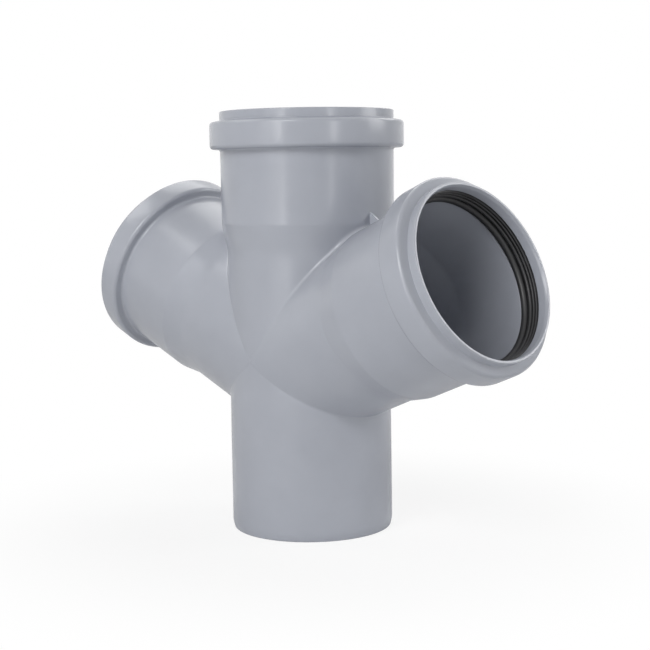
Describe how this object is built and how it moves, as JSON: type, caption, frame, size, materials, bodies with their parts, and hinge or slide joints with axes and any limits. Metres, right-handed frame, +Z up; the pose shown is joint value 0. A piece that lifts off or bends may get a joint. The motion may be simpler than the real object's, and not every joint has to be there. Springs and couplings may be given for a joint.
{
  "type": "drain cross fitting",
  "caption": "Double branch fitting for drain pipe: a straight run with a plain spigot below and a ring-seal socket above, and two opposed ring-seal branch sockets.",
  "frame": {"origin": "centre of the spigot's end face, which the fitting stands on", "axes": "+Z up the run's axis, from the spigot to the top socket; +X towards the right branch, so both branches lie in the XZ plane"},
  "size_m": [0.3516, 0.131, 0.283],
  "materials": {
    "body": "satin moulded polypropylene, light grey",
    "seal": "smooth black moulded rubber"
  },
  "bodies": {
    "root": {"fitting_body": "body", "top_seal_ring": "seal", "right_seal_ring": "seal", "left_seal_ring": "seal"}
  },
  "joints": []
}
